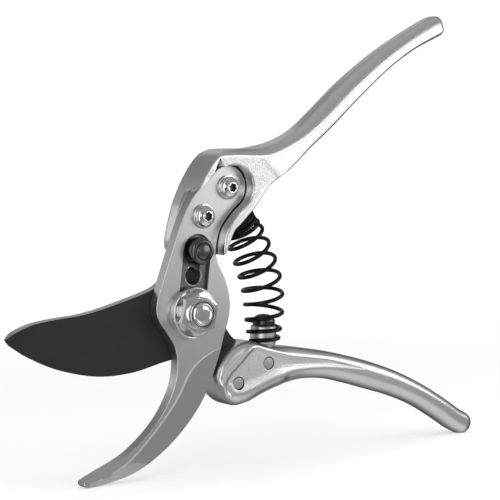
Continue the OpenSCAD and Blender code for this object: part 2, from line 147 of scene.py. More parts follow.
# The return spring's axis, from the upper seat to the lower one
SPRING_LINE = [(21.62, 30.27), (24.1, 26.4), (26.1, 22.2), (28.5, 17.3), (30.6, 12.4),
               (32.2, 7.2), (33.1, 2), (33.3, -3.3), (33.1, -8.4), (32.82, -13)]

# ---- curves ----


def smooth(rows, steps=6, closed=False):
    """A smooth curve through rows of any width, with steps between each two."""
    p = np.array(rows, float)
    count = len(p)
    out = []
    for i in range(count if closed else count - 1):
        near = [(i + k) % count if closed else min(max(i + k, 0), count - 1) for k in (-1, 0, 1, 2)]
        a, b, c, d = p[near]
        for t in np.arange(steps) / steps:
            out.append(0.5 * (2 * b + (c - a) * t + (2 * a - 5 * b + 4 * c - d) * t ** 2
                              + (3 * b - a - 3 * c + d) * t ** 3))
    if not closed:
        out.append(p[-1])
    return np.array(out)


def arc(centre, radius, start, end, steps=24):
    """Points of an arc, with its angles in degrees."""
    angles = np.radians(np.linspace(start, end, steps + 1))
    return np.array(centre) + radius * np.stack([np.cos(angles), np.sin(angles)], 1)


def evenly(rows, spacing, measured=slice(None)):
    """Rows resampled at an even spacing along their measured columns."""
    p = smooth(rows, 24)
    steps = np.linalg.norm(np.diff(p[:, measured], axis=0), axis=1)
    marks = np.concatenate([[0], np.cumsum(steps)])
    count = max(2, round(marks[-1] / spacing))
    at = np.linspace(0, marks[-1], count + 1)
    return np.stack([np.interp(at, marks, p[:, k]) for k in range(p.shape[1])], 1)


def joined(*curves):
    """Curves joined end to end, without the points that repeat."""
    p = np.concatenate([np.array(c, float) for c in curves])
    gap = np.linalg.norm(p - np.roll(p, 1, 0), axis=1)
    return p[gap > 0.05]


def inset(outline, amount):
    """A closed outline drawn in by an amount, or out by a negative one."""
    p = np.array(outline, float)
    ahead = np.roll(p, -1, 0) - p
    ahead /= np.linalg.norm(ahead, axis=1, keepdims=True)
    behind = np.roll(ahead, 1, 0)
    area = np.sum(p[:, 0] * np.roll(p[:, 1], -1) - np.roll(p[:, 0], -1) * p[:, 1])
    turn = 1 if area > 0 else -1
    normal = np.stack([-(ahead + behind)[:, 1], (ahead + behind)[:, 0]], 1) * turn
    normal /= np.linalg.norm(normal, axis=1, keepdims=True)
    lean = np.abs(np.sum(normal * np.stack([-ahead[:, 1], ahead[:, 0]], 1), axis=1))
    return p + normal * amount / np.maximum(lean, 0.6)[:, None]


def depth_inside(points, outline):
    """How far each point is inside a closed outline; negative outside."""
    p, a = np.array(points, float), np.array(outline, float)
    b = np.roll(a, -1, 0)
    run = b - a
    rel = p[:, None, :] - a[None]
    t = np.clip(np.sum(rel * run, 2) / np.sum(run * run, 1), 0, 1)
    gap = np.linalg.norm(rel - t[..., None] * run, axis=2).min(1)
    above = (a[None, :, 1] > p[:, None, 1]) != (b[None, :, 1] > p[:, None, 1])
    rise = np.where(run[:, 1] == 0, 1e-9, run[:, 1])
    cross = a[None, :, 0] + (p[:, None, 1] - a[None, :, 1]) * run[None, :, 0] / rise
    inside = (above & (p[:, None, 0] < cross)).sum(1) % 2 == 1
    return np.where(inside, gap, -gap)


def ramp(v, low, high):
    t = np.clip((v - low) / (high - low), 0, 1)
    return t * t * (3 - 2 * t)


def eased(profile, radius=0.2, steps=3):
    """A profile whose inner corners are rounded."""
    p = np.array(profile, float)
    out = [p[0]]
    for before, corner, after in zip(p, p[1:], p[2:]):
        ends = []
        for other in (before, after):
            length = np.linalg.norm(other - corner)
            ends.append(corner + (other - corner) * min(radius, 0.45 * length) / length)
        for t in np.linspace(0, 1, steps + 1):
            out.append((1 - t) ** 2 * ends[0] + 2 * t * (1 - t) * corner + t * t * ends[1])
    out.append(p[-1])
    return np.array(out)


# ---- meshes ----


def piece(name, verts, faces, materials=(), slots=None):
    """A new mesh object from millimetre points, with its faces turned outwards."""
    mesh = bpy.data.meshes.new(name)
    mesh.from_pydata([Vector(v) * MM for v in verts], [], faces)
    for material in materials:
        mesh.materials.append(material)
    if slots is not None:
        mesh.polygons.foreach_set("material_index", slots)
    obj = bpy.data.objects.new(name, mesh)
    bpy.context.scene.collection.objects.link(obj)
    work = bmesh.new()
    work.from_mesh(mesh)
    bmesh.ops.recalc_face_normals(work, faces=work.faces)
    work.to_mesh(mesh)
    work.free()
    return obj


def stacked(name, rings, materials=(), slots=None):
    """A closed solid through rings of points, flat at both ends."""
    count = len(rings[0])
    verts = [tuple(p) for ring in rings for p in ring]
    faces, kinds = [list(range(count))], [0]
    for r in range(len(rings) - 1):
        for k in range(count):
            a, b = r * count + k, r * count + (k + 1) % count
            faces.append((a, b, b + count, a + count))
            kinds.append(slots(r, k) if slots else 0)
    last = (len(rings) - 1) * count
    faces.append([last + k for k in reversed(range(count))])
    kinds.append(0)
    return piece(name, verts, faces, materials, kinds)


def flat_ring(outline, y):
    return [(x, y, z) for x, z in outline]


def plate(name, outline, front, back, arris=0.25, materials=(), slots=None, steps=3):
    """A plate with both arrises softened."""
    rings = []
    for y, inward in ((front, 1), (back, -1)):
        turn = [(arris * (1 - math.sin(a)), y + inward * arris * (1 - math.cos(a)))
                for a in np.linspace(0, math.pi / 2, steps + 1)]
        for amount, depth in (turn if inward > 0 else reversed(turn)):
            rings.append(flat_ring(inset(outline, amount), depth))
    return stacked(name, rings, materials, slots)


MOUTH_REACH = 6


def mouth(outline, face, outward, flare):
    """The rings of a cutter's end, which flares out past a face. Outward is -1 in front."""
    if not flare:
        return [flat_ring(outline, face)]
    lip = [(flare * (math.cos(a) - 1), face - outward * flare * (1 - math.sin(a)))
           for a in np.linspace(0, math.radians(80), 4)]
    rim = lip[-1][0] - 1.2 * flare
    lip += [(rim, face + outward * 0.24 * flare), (rim, face + outward * MOUTH_REACH)]
    return [flat_ring(inset(outline, out), y) for out, y in lip]


def cutter(outline, front, back, flare, material, flare_back=False):
    """A prism for cutting through y from front to back, with flared mouths."""
    rings = mouth(outline, front, -1, flare)[::-1]
    return stacked("cutter", rings + mouth(outline, back, 1, flare if flare_back else 0),
                   [material])


def holes(places, diameter, front, back, flare, material, flare_back=False):
    """Cutters for round holes of one size."""
    return [cutter(round_hole(place, diameter), front, back, flare, material, flare_back)
            for place in places]


def turned(name, profile, place=(0, 0), sides=96, materials=(), aim=None):
    """A turned solid. Its profile is (radius, y) on a pivot line at place, or with aim
    (seat, direction) it is (radius, height) on an axis in the handles' plane."""
    p = np.array(profile, float)
    closed = p[0][0] > 1e-6
    verts, rings = [], []
    for radius, along in p:
        if radius < 1e-6:
            rings.append([len(verts)])
            verts.append((0, 0, along))
            continue
        rings.append(list(range(len(verts), len(verts) + sides)))
        for k in range(sides):
            a = 2 * math.pi * k / sides
            verts.append((radius * math.cos(a), radius * math.sin(a), along))
    pairs = list(zip(rings, rings[1:])) + ([(rings[-1], rings[0])] if closed else [])
    faces = []
    for a, b in pairs:
        for k in range(sides):
            j = (k + 1) % sides
            if len(a) == 1 and len(b) == 1:
                continue
            if len(a) == 1:
                faces.append((a[0], b[j], b[k]))
            elif len(b) == 1:
                faces.append((a[k], a[j], b[0]))
            else:
                faces.append((a[k], a[j], b[j], b[k]))
    if aim:
        seat, direction = aim
        d = Vector((direction[0], 0, direction[1])).normalized()
        side = Vector((0, 1, 0))
        other = side.cross(d)
        centre = Vector((seat[0], MID_Y, seat[1]))
        verts = [centre + other * v[0] + side * v[1] + d * v[2] for v in verts]
    else:
        verts = [(place[0] + v[0], v[2], place[1] + v[1]) for v in verts]
    return piece(name, verts, faces, materials)


def baked(obj):
    """The object with its modifiers made into its mesh."""
    depsgraph = bpy.context.evaluated_depsgraph_get()
    depsgraph.update()
    mesh = bpy.data.meshes.new_from_object(obj.evaluated_get(depsgraph),
                                           preserve_all_data_layers=True, depsgraph=depsgraph)
    obj.modifiers.clear()
    obj.data = mesh
    return obj


def carved(obj, cutters, operation="DIFFERENCE"):
    """The object cut, or joined, with each cutter in turn. Cut faces keep the cutter's material."""
    for tool in cutters:
        mod = obj.modifiers.new("carve", "BOOLEAN")
        mod.operation = operation
        mod.object = tool
        mod.solver = "EXACT"
        mod.material_mode = "TRANSFER"
        baked(obj)
        bpy.data.objects.remove(tool)
    return obj


def shaded(obj, angle=32, weld=0.004):
    """Smooth shading, with hard edges above an angle and flat faces kept flat."""
    work = bmesh.new()
    work.from_mesh(obj.data)
    bmesh.ops.remove_doubles(work, verts=work.verts, dist=weld * MM)
    work.to_mesh(obj.data)
    work.free()
    obj.data.shade_smooth()
    obj.data.set_sharp_from_angle(angle=math.radians(angle))
    mod = obj.modifiers.new("flat faces", "WEIGHTED_NORMAL")
    mod.keep_sharp = True
    mod.weight = 80
    return baked(obj)


def seated(obj, body, slot, *nodes):
    """Hands a finished piece to the frame: what it rides on and what it stands for."""
    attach(obj, body)
    if nodes:
        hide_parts(*nodes)
    return obj


# ---- shader and geometry recipes ----


class Value:
    """A node socket that Python's arithmetic works on."""

    def __init__(self, recipe, socket):
        self.recipe, self.socket = recipe, socket

    def math(self, operation, *others):
        return self.recipe.node("ShaderNodeMath", {"operation": operation}, (self, *others))

    def __add__(self, other):
        return self.math("ADD", other)

    def __mul__(self, other):
        return self.math("MULTIPLY", other)

    def __sub__(self, other):
        return self.math("SUBTRACT", other)

    def __rsub__(self, other):
        return self.recipe.node("ShaderNodeMath", {"operation": "SUBTRACT"}, (other, self))

    def __truediv__(self, other):
        return self.math("DIVIDE", other)

    def __pow__(self, other):
        return self.math("POWER", other)

    def clamped(self, low, high):
        return self.math("MAXIMUM", low).math("MINIMUM", high)

    __radd__ = __add__
    __rmul__ = __mul__


class Recipe:
    """A node tree, built one node at a time."""

    def __init__(self, tree):
        self.tree = tree

    def node(self, kind, settings=None, sockets=(), out=0):
        node = self.tree.nodes.new(kind)
        for key, value in (settings or {}).items():
            if key == "stops":
                for stop in list(node.color_ramp.elements)[1:]:
                    node.color_ramp.elements.remove(stop)
                for n, (place, grey) in enumerate(value):
                    stops = node.color_ramp.elements
                    stop = stops[0] if n == 0 else stops.new(place)
                    stop.position, stop.color = place, (grey, grey, grey, 1)
            else:
                setattr(node, key, value)
        named = sockets.items() if isinstance(sockets, dict) else enumerate(sockets)
        for key, value in named:
            if isinstance(value, Value):
                self.tree.links.new(value.socket, node.inputs[key])
            elif value is not None:
                node.inputs[key].default_value = value
        return Value(self, node.outputs[out]) if len(node.outputs) else node


class Finish(Recipe):
    """A material's node tree."""

    def __init__(self, name):
        self.material = bpy.data.materials.new(name)
        self.material.use_nodes = True
        super().__init__(self.material.node_tree)
        self.tree.nodes.clear()
        self.place = self.node("ShaderNodeTexCoord", out="Object")

    def noise(self, size, detail=2, stretch=(1, 1, 1), roughness=0.5):
        """Noise whose features are about size millimetres across."""
        place = self.node("ShaderNodeMapping", {"vector_type": "POINT"},
                          {"Vector": self.place, "Scale": stretch})
        return self.node("ShaderNodeTexNoise", {}, {
            "Vector": place, "Scale": 1 / (size * MM), "Detail": detail, "Roughness": roughness})

    def grey(self, value):
        """A value as a neutral colour."""
        return self.node("ShaderNodeCombineColor", {}, (value, value, value))

    def bump(self, height, depth, strength=1.0):
        """A surface normal from a height, whose full range is depth millimetres."""
        return self.node("ShaderNodeBump", {}, {
            "Strength": strength, "Distance": depth * MM, "Height": height})

    def surface(self, base, roughness, normal=None, **fixed):
        sockets = {"Base Color": base, "Roughness": roughness}
        sockets.update({key.replace("_", " "): value for key, value in fixed.items()})
        if normal is not None:
            sockets["Normal"] = normal
        shader = self.node("ShaderNodeBsdfPrincipled", {}, sockets)
        self.node("ShaderNodeOutputMaterial", {}, {"Surface": shader})
        return self.material


def blasted_alloy():
    """Forged alloy: fine blasted grain on the flats, tumbled smooth on the rounded sides."""
    f = Finish("blasted_alloy")
    flat = f.node("ShaderNodeAttribute", {"attribute_name": "blasted"}, out="Fac")
    grain = f.noise(0.5, 3, roughness=0.75)
    cloud = f.noise(9, 3)
    height = grain * flat + f.noise(1.6, 2) * 0.05
    base = f.grey((cloud - 0.5) * 0.05 + (grain - 0.5) * flat * 0.9 + 0.82)
    rough = flat * 0.1 + cloud * 0.06 + 0.28
    return f.surface(base, rough, f.bump(height, 0.1, 0.9), Metallic=1.0)


def one_noise(name, noise, tone, gloss, relief, **fixed):
    """A finish whose tone, roughness and relief all follow one noise. Tone and gloss are
    (spread, base) and relief is (depth in millimetres, strength)."""
    f = Finish(name)
    grain = f.noise(*noise)
    return f.surface(f.grey(grain * tone[0] + tone[1]), grain * gloss[0] + gloss[1],
                     f.bump(grain, *relief), **fixed)


def machined_alloy():
    """Milled walls of the pocket that holds the counter-blade."""
    return one_noise("machined_alloy", (0.25, 2, (0.15, 2.0, 0.15)), (0.06, 0.78),
                     (0.06, 0.08), (0.003, 0.5), Metallic=1.0)


def ground_steel():
    """Satin ground steel of the counter-blade."""
    f = Finish("ground_steel")
    lines = f.noise(0.3, 3, stretch=(0.25, 1, 1.5), roughness=0.6)
    cloud = f.noise(14, 3)
    base = f.grey(lines * 0.05 + (cloud - 0.5) * 0.05 + 0.64)
    return f.surface(base, lines * 0.1 + cloud * 0.06 + 0.27, f.bump(lines, 0.006, 0.5),
                     Metallic=1.0)


def bevel_steel():
    """The counter-blade's ground hollow, with its own grind; its tone, a little darker than the
    face's, is painted shade.
    """
    return one_noise("bevel_steel", (0.22, 3, (1.6, 1, 0.3), 0.6), (0.08, 0.53), (0.1, 0.3),
                     (0.008, 0.5), Metallic=1.0)


def honed_line():
    """Painted highlight: a bright tone on the narrow facet along the start of the hollow."""
    return one_noise("honed_line", (0.3,), (0.04, 0.93), (0.06, 0.42), (0.004, 0.4),
                     Metallic=1.0)


def polished_steel():
    """Plated bright steel of the fasteners, with light handling marks."""
    f = Finish("polished_steel")
    marks = f.noise(0.5, 4, stretch=(1, 0.3, 1), roughness=0.7)
    base = f.grey((marks - 0.5) * 0.06 + 0.8)
    return f.surface(base, (marks - 0.35).clamped(0, 1) * 0.12 + 0.07,
                     f.bump(marks, 0.0004, 0.6), Metallic=1.0)


def black_coat():
    """Low-friction black coating of the cutting blade."""
    f = Finish("black_coat")
    speck = f.noise(0.28, 3, roughness=0.7)
    cloud = f.noise(16, 3)
    base = f.grey(speck * 0.008 + cloud * 0.012 + 0.006)
    return f.surface(base, speck * 0.12 + cloud * 0.08 + 0.32, f.bump(speck, 0.01, 0.7),
                     Specular_IOR_Level=0.42)


def bare_edge_steel():
    """Bare ground steel along the blade's spine and its cutting bevel."""
    return one_noise("bare_edge_steel", (0.2, 3, (0.4, 1, 2.2), 0.6), (0.1, 0.5), (0.12, 0.26),
                     (0.006, 0.6), Metallic=1.0)


def spring_enamel():
    """Black enamel on the spring wire."""
    return one_noise("spring_enamel", (1.2, 3), (0.003, 0.002), (0.08, 0.14), (0.02, 0.4),
                     Specular_IOR_Level=0.25)


def anodised_black():
    """Black anodised thumb button, satin."""
    return one_noise("anodised_black", (0.2,), (0.02, 0.13), (0.08, 0.18), (0.002, 0.6),
                     Metallic=1.0)


def moulded_rubber():
    """Glossy black rubber of the stop bumper."""
    return one_noise("moulded_rubber", (0.9, 3), (0.006, 0.008), (0.08, 0.12), (0.02, 0.4),
                     Specular_IOR_Level=0.8)


def nylon_ring():
    """Dark nylon of the nut's locking ring."""
    return one_noise("nylon_ring", (0.6,), (0.03, 0.04), (0.1, 0.38), (0.01, 0.4))


def rivet_face():
    """Peened rivet ends, pitted like the handle round them."""
    return one_noise("rivet_face", (0.35, 3, (1, 1, 1), 0.7), (0.35, 0.42), (0.2, 0.28),
                     (0.04, 0.9), Metallic=1.0)


def gap_shadow():
    """Painted shade in the nut's groove: a dark finish on the groove's faces."""
    return one_noise("gap_shadow", (0.3,), (0.03, 0.03), (0.2, 0.5), (0.01, 0.4))


def dark_steel():
    """Blackened steel of the channel floor and the catch's inner pieces; in the screws' sockets the
    same dark finish is painted shade.
    """
    return one_noise("dark_steel", (0.25, 3, (0.4, 1, 1.6)), (0.06, 0.17), (0.14, 0.3),
                     (0.006, 0.5), Metallic=1.0)


def peg_alloy():
    """Die-cast spring pegs."""
    return one_noise("peg_alloy", (0.5, 3), (0.08, 0.68), (0.12, 0.3), (0.01, 0.5),
                     Metallic=1.0)


# ---- handles ----

# Each rib of a handle runs from its upper-left edge to its lower-right one. Its numbers are:
# left x, z; right x, z; front y, back y; corner radii front left, front right, back right and
# back left; how far the front and back faces fall away, and the side faces draw in, at corners
CORNER_STEPS = 8


def rounded_section(width, depth, radii, front_steps, back_steps, side_steps):
    """A rounded rectangle, from its front left corner round by the front right one.
    Gives across, depth and the share that is flat front."""
    a, b = width / 2, depth / 2
    fl, fr, br, bl = [min(r, 0.96 * a, 0.96 * b) for r in radii]
    across, along, flat = [], [], []

    def corner(cx, cy, r, start):
        for t in np.linspace(0, math.pi / 2, CORNER_STEPS + 1):
            across.append(cx + r * math.cos(start + t))
            along.append(cy + r * math.sin(start + t))
            flat.append(0.0)

    def run(x0, y0, x1, y1, steps, share):
        for t in np.arange(1, steps) / steps:
            across.append(x0 + (x1 - x0) * t)
            along.append(y0 + (y1 - y0) * t)
            flat.append(share)

    corner(-a + fl, -b + fl, fl, math.pi)
    run(-a + fl, -b, a - fr, -b, front_steps, 1.0)
    corner(a - fr, -b + fr, fr, 1.5 * math.pi)
    run(a, -b + fr, a, b - br, side_steps, 0.0)
    corner(a - br, b - br, br, 0)
    run(a - br, b, -a + bl, b, back_steps, 0.6)
    corner(-a + bl, b - bl, bl, 0.5 * math.pi)
    run(-a, b - bl, -a, -b + fl, side_steps, 0.0)
    return np.array(across), np.array(along), np.array(flat)


def forged(name, ribs, materials, spacing, front_steps, relief=None):
    """A forged bar through ribs, with relief(points, front) moving its front face."""
    rows = evenly(ribs, spacing, slice(0, 4))
    rings, shares = [], []
    for row in rows:
        left, right, front, back = row[0:2], row[2:4], row[4], row[5]
        width = np.linalg.norm(right - left)
        across, along, flat = rounded_section(width, back - front, row[6:10], front_steps, 8, 5)
        a, b = width / 2, (back - front) / 2
        bulge = row[10] * (across / a) ** 2
        along = along + np.where(along < 0, 1, -1) * bulge * np.abs(along / b)
        across = across * (1 - row[11] / a * (along / b) ** 2)
        middle, run = (left + right) / 2, (right - left) / width
        plane = middle + across[:, None] * run
        rings.append(np.stack([plane[:, 0], (front + back) / 2 + along, plane[:, 1]], 1))
        shares.append(flat)
    points, share = np.array(rings), np.array(shares)
    if relief:
        front_half = points[:, :, 1] < (rows[:, 4] + rows[:, 5])[:, None] / 2
        move, polish = relief(points.reshape(-1, 3))
        points[:, :, 1] += np.where(front_half, move.reshape(share.shape), 0)
        share = share * np.where(front_half, polish.reshape(share.shape), 1)
    obj = stacked(name, list(points), materials)
    layer = obj.data.attributes.new("blasted", "FLOAT", "POINT")
    layer.data.foreach_set("value", share.reshape(-1))
    return obj


def bar_ribs(stations, depths, radii, crown):
    """Ribs square to a grip's line, from stations (x, z, half height)."""
    s = np.array(stations, float)
    run = np.gradient(s[:, :2], axis=0)
    run /= np.linalg.norm(run, axis=1, keepdims=True)
    up = np.stack([-run[:, 1], run[:, 0]], 1) * s[:, 2:3]
    return np.concatenate([s[:, :2] + up, s[:, :2] - up, np.array(depths, float),
                           np.array(radii, float), np.array(crown, float)], 1)


def rounded_end(ribs, length, power=2.4, steps=7):
    """The ribs with a blunt rounded end of a given length after the last one."""
    last, before = ribs[-1], ribs[-2]
    middle, half = (last[:2] + last[2:4]) / 2, (last[:2] - last[2:4]) / 2
    run = middle - (before[:2] + before[2:4]) / 2
    run /= np.linalg.norm(run)
    depth, half_depth = (last[4] + last[5]) / 2, (last[5] - last[4]) / 2
    out = []
    for t in np.linspace(0, 1, steps + 1)[1:]:
        t = math.sin(t * math.pi / 2)
        share = max(0.06, (1 - t ** power) ** (1 / power))
        row = last.copy()
        centre = middle + run * length * t
        row[:2], row[2:4] = centre + half * share, centre - half * share
        row[4], row[5] = depth - half_depth * share, depth + half_depth * share
        row[6:12] *= share
        out.append(row)
    return np.concatenate([ribs, np.array(out)])


def hook_outline():
    return joined(smooth(HOOK_OUTER, 5), arc(SCREW_PLACES[0], HOOK_HEAD_R, -42, 128, 30),
                  smooth(HOOK_INNER, 5))


def blade_outline():
    return joined(smooth(BLADE_SPINE, 5), arc((0, 0), HEEL_R, 90, 28, 16), smooth(TANG, 5),
                  smooth(BLADE_EDGE, 6))


def on_catch(radius, turn=0.0):
    angle = CATCH_ANGLE + turn
    return radius * math.cos(angle), radius * math.sin(angle)


def catch_slot(near, far, width, steps=24):
    """A round-ended slot along the catch's line."""
    angle = math.degrees(CATCH_ANGLE)
    return joined(arc(on_catch(far), width / 2, angle - 90, angle + 90, steps),
                  arc(on_catch(near), width / 2, angle + 90, angle + 270, steps))


def round_hole(place, diameter, steps=48):
    return arc(place, diameter / 2, 0, 360, steps)[:-1]


def seat_tool(seat, direction, materials):
    """Clears a round flat for a spring peg, with the hole for its shank."""
    bore, depth, rim, height = 2.52, 4, SEAT_R + 0.3, 14
    return turned("seat", [(0, -depth), (bore, -depth), (bore, 0), (rim, 0), (rim, height),
                           (0, height)], aim=(seat, direction), materials=materials)


# Left of the counter-blade the rim is cut away, down to a land that narrows to nothing
LAND_EDGE = [(6.4, 45.7), (4.1, 43.2), (0.5, 40.3), (-1.1, 38.7), (-5, 34), (-9, 20), (0, 20),
             (6, 40)]
LAND_CUT_FRONT = [(13, 48), (11.4, 47.9), (10.2, 47.9), (9.4, 48.9), (8.9, 50.3), (8.5, 50.2),
                  (7.5, 48.2)] + LAND_EDGE
LAND_CUT_BACK = [(13, 47), (11.4, 47), (10.2, 47), (9.3, 47.2), (8.7, 47.4), (8, 47.2),
                 (7.4, 46.4)] + LAND_EDGE


def upper_handle(alloy, milled):
    head = [
        (-4.6, 20.4, 9.9, 18.3, 0.3), (-4.8, 21.6, 11.2, 19, 0.3), (-4.9, 22.8, 12.1, 20.5, 0.3),
        (-4.7, 24.6, 12.8, 22.4, 0.3), (-3.7, 29, 14.9, 26.4, 0.3), (-2.6, 32.8, 17.1, 28.3, 0.3),
        (-1.4, 36.2, 19.2, 30.2, 0.3), (1.7, 42.6, 22.2, 32.9, 0.3), (5.4, 48.1, 25, 36, 0.4),
        (8.4, 51.2, 27.2, 38.8, 0.6), (10.6, 52.4, 28.2, 39.9, 2.4),
        (13.5, 53.1, 29.4, 41.1, 3.4), (20, 53.2, 31.9, 42.7, 3.8),
        (26.6, 53.3, 34.5, 44.2, 3.4)]
    rows = [list(h[:4]) + [RIM_FRONT, HEAD_BACK, h[4], 0.7, 2.2, 2.6, 0, 0] for h in head]
    grip = bar_ribs(
        [(37.8, 51.2, 4.9), (46.2, 56.2, 4), (55.2, 62.9, 4.1), (67.2, 72.7, 4),
         (80.8, 82.4, 3.6), (93, 89.4, 3.4), (103.2, 94.1, 3.7), (106.3, 95.3, 3.7)],
        [(-15.6, -4.2), (-14.9, -4.6), (-14.7, -4.7), (-14.7, -4.7), (-14.4, -5),
         (-14.1, -5.3), (-13.9, -5.5), (-13.7, -5.7)],
        [(3, 1.2, 2.6, 3), (3.2, 1.3, 2.8, 3.2), (3.9, 1.4, 3, 3.2), (3.9, 1.4, 3, 3.2),
         (3.4, 1.4, 2.9, 3), (3, 1.6, 2.7, 2.8), (2.8, 1.9, 2.6, 2.8), (2.6, 1.9, 2.6, 2.8)],
        [(0.1, 0.1), (0.25, 0.25), (0.3, 0.3), (0.3, 0.3), (0.3, 0.3), (0.25, 0.25),
         (0.25, 0.25), (0.25, 0.25)])
    ribs = rounded_end(np.concatenate([np.array(rows, float), grip]), 3.7)
    obj = forged("upper_handle_forging", ribs, [alloy], spacing=0.8, front_steps=14)
    boss = turned("boss", eased([(0, -7), (SEAT_R, -7), (SEAT_R, 0), (0, 0)], 0.5),
                  aim=(UPPER_SEAT, UPPER_SEAT_DIR), materials=[alloy])
    carved(obj, [boss], "UNION")
    reach = catch_slot(CATCH_R - CATCH_TRAVEL - 2, CATCH_R, FOOT_HOLLOW_D)
    tools = [cutter(inset(hook_outline(), -0.3), RIM_FRONT, HOOK_BACK, 0.45, milled),
             stacked("land", [flat_ring(LAND_CUT_FRONT, RIM_FRONT - 5),
                              flat_ring(LAND_CUT_FRONT, RIM_FRONT - 0.05),
                              flat_ring(LAND_CUT_BACK, HOOK_BACK)], [milled]),
             cutter(round_hole((0, 0), 2 * HEAD_END_R, 128), -CLEAR, CLEAR, 0, milled),
             cutter(reach, HOOK_BACK - 1, HOOK_BACK + FOOT_ROOM, 0, milled),
             seat_tool(UPPER_SEAT, UPPER_SEAT_DIR, [milled])]
    tools += holes(SCREW_PLACES, SCREW_BORE, HOOK_BACK - 1, HEAD_BACK, 0.4, milled, True)
    carved(obj, tools)
    return seated(shaded(obj), "fixed_arm", "handle_alloy", "upper_handle")


# The sunk panel on the lower handle's front
PANEL_SINK = 0.75
PANEL = [(25.6, -13.9), (30.3, -15.4), (34.1, -16.7), (39.8, -18.3), (45, -19.2), (52, -20.1),
         (59.4, -21.3), (67.2, -23.2), (74, -25.2), (68, -24.7), (60, -23.7), (53.4, -23.3),
         (45.5, -23.6), (39.8, -24.3), (35.2, -25.1), (30.3, -26.6), (24.7, -28.1),
         (19.2, -29.3), (15.6, -29), (13.4, -27.2), (13.1, -24.8), (15.1, -21.8),
         (19.9, -17.7), (23.4, -14.6)]
# The line between its upper side, which has the lip, and its lower side
PANEL_MIDDLE = [(16, -25.5), (24, -22.5), (34, -21), (45, -21.5), (60, -22.5), (74, -25)]


def lower_relief(points):
    """The sunk panel with its raised lip, and how blasted the face is."""
    inside = depth_inside(points[:, [0, 2]], smooth(PANEL, 4, closed=True))
    x, z = points[:, 0], points[:, 2]
    near = 1 - ramp(x, 30, 70)
    middle = np.interp(x, *zip(*PANEL_MIDDLE))
    lip_side = np.maximum(ramp(z - middle, -1, 1), 1 - ramp(x, 14, 17))
    sunk = (ramp(inside, -0.35, 0.55) * lip_side + ramp(inside, 0, 4.5) * (1 - lip_side)) \
        * (0.25 + 0.75 * near) * PANEL_SINK
    lip = np.exp(-((inside + 1.1) / 0.9) ** 2) * lip_side * (0.15 + 0.85 * near) * 0.45
    return sunk - lip, ramp(inside, -0.2, 0.9) * 0.96 + 0.04


def lower_handle(alloy, milled):
    head = [
        (9.95, -22.2, 9.95, -23.6), (10.25, -20.8, 10.3, -25.2), (11.3, -18.6, 11.7, -28.4),
        (13.2, -16.1, 14.5, -31.3), (15.8, -13.6, 18.6, -32.9), (19.6, -11.8, 24, -32.2),
        (24.2, -11.4, 28.8, -30.4), (29.2, -12.7, 33.4, -28.9), (34.6, -13.9, 37.4, -27.9)]
    swell = [0.55, 0.86, 1, 1, 1, 1, 1, 1, 0.98]
    middle, half = (CHEEK_FRONT + CHEEK_BACK) / 2, (CHEEK_BACK - CHEEK_FRONT) / 2
    rows = [list(h) + [middle - half * s, middle + half * s, 2.6 * s, 4.6 * s, 3.4 * s, 3 * s,
                       0.1, 0.1] for h, s in zip(head, swell)]
    grip = bar_ribs(
        [(41, -21, 6.3), (48.7, -21.3, 5.3), (58.9, -22.8, 4.8), (69.1, -25.4, 4.8),
         (79.6, -28.6, 4.8), (90.3, -32.3, 4.5), (101.3, -37.2, 4.2), (111.5, -43, 4.2),
         (118.6, -47.5, 4.2), (122.6, -49.6, 4.1)],
        [(-13.5, -1.5), (-13, -2), (-12.6, -2.4), (-12.5, -2.5), (-12.4, -2.6), (-12.2, -2.8),
         (-11.9, -3.1), (-11.7, -3.3), (-11.5, -3.5), (-11.4, -3.6)],
        [(2.8, 4.6, 3.6, 3), (3.0, 4.4, 3.8, 3), (3.2, 4.3, 3.8, 3), (3.3, 4.5, 3.8, 3),
         (3.3, 4.7, 3.8, 3), (3.2, 4.6, 3.6, 3), (3.0, 4.4, 3.4, 2.8), (2.9, 4.2, 3.4, 2.8),
         (2.8, 4, 3.2, 2.8), (2.6, 3.8, 3.2, 2.8)],
        [(0.15, 0.15), (0.2, 0.2), (0.25, 0.25), (0.3, 0.3), (0.3, 0.3), (0.3, 0.3),
         (0.3, 0.3), (0.3, 0.3), (0.3, 0.3), (0.3, 0.3)])
    ribs = rounded_end(np.concatenate([np.array(rows, float), grip]), 4.9)
    obj = forged("lower_handle_forging", ribs, [alloy], spacing=0.5, front_steps=36,
                 relief=lower_relief)
    slot = joined(inset(blade_outline(), -0.15))
    gap = [(-10, -24.5), (20, -24.5), (20, -8), (-10, -8)]
    front, back = BLADE_FRONT - 0.02, BLADE_BACK + 0.02
    tools = [cutter(slot, front, back, 0, milled), cutter(gap, front, back, 0, milled),
             cutter(round_hole((0, 0), PIVOT_ROOM_D, 128), -CLEAR, CLEAR, 0, milled),
             seat_tool(LOWER_SEAT, LOWER_SEAT_DIR, [milled])]
    tools += holes(RIVET_PLACES, CHEEK_BORE, RIVET_FRONT - 2, RIVET_BACK + 2, 0, milled)
    carved(obj, tools)
    return seated(shaded(obj), "moving_arm", "handle_alloy", "lower_handle")


# ---- blades ----


def wedge(pairs, depths, face, outward, materials):
    """A cutter that slopes from nothing at each pair's first point to its depth at the
    second. Outward is -1 to cut a front face and 1 to cut a back face."""
    before, beyond = 0.2, 1.5
    rows = smooth([(*p, *q, d) for (p, q), d in zip(pairs, depths)], 6)
    rings = []
    for row in rows:
        p, q, d = row[:2], row[2:4], row[4]
        start, end = p + (p - q) * before, p + (q - p) * beyond
        low, high = face + outward * before * d, face - outward * beyond * d
        clear = face + outward * 4
        rings.append([(start[0], low, start[1]), (end[0], high, end[1]),
                      (end[0], clear, end[1]), (start[0], clear, start[1])])
    return stacked("wedge", rings, materials)


